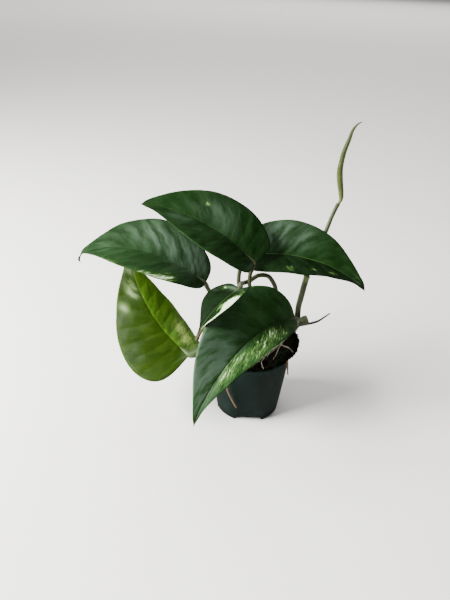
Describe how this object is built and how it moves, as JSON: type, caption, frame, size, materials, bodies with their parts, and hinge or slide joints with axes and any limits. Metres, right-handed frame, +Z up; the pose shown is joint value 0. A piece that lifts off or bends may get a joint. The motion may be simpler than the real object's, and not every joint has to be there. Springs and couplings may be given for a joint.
{
  "type": "potted variegated epipremnum pinnatum",
  "caption": "Young variegated aroid cutting with long pointed leaves, arching petioles, a rolled new leaf and aerial roots, in a small round dark nursery pot filled with soil.",
  "frame": {"origin": "centre of the pot's base, on the surface that it stands on", "axes": "+Z up along the pot's axis; +X towards the side of the pot where the stem stands; -Y towards the viewer of the front leaf"},
  "size_m": [0.1896, 0.1249, 0.1931],
  "materials": {
    "pot": "thin injection-moulded dark teal plastic, satin",
    "soil": "damp dark potting mix of peat and bark, mossy on top",
    "stem": "grey-green stem with a dark corky cut end",
    "petiole": "smooth fresh green, slightly glossy",
    "blade": "dark green leaf with a soft sheen, marbled with pale green and cream",
    "young_blade": "light yellow-green young leaf, quilted between its side veins",
    "root": "thin tan aerial root, dry and finely wrinkled"
  },
  "bodies": {
    "root": {"pot": "pot", "soil": "soil", "main_stem": "stem", "petiole_top": "petiole", "blade_top": "blade", "petiole_left": "petiole", "blade_left": "blade", "petiole_right": "petiole", "blade_right": "blade", "petiole_low": "petiole", "blade_low": "young_blade", "petiole_front": "petiole", "blade_front": "blade", "petiole_small": "petiole", "blade_small": "blade", "shoot_stalk": "petiole", "rolled_leaf": "young_blade", "aerial_root_right": "root", "aerial_root_left": "root", "hanging_root_front": "root", "hanging_root_rim": "root", "soil_roots": "root"}
  },
  "joints": []
}
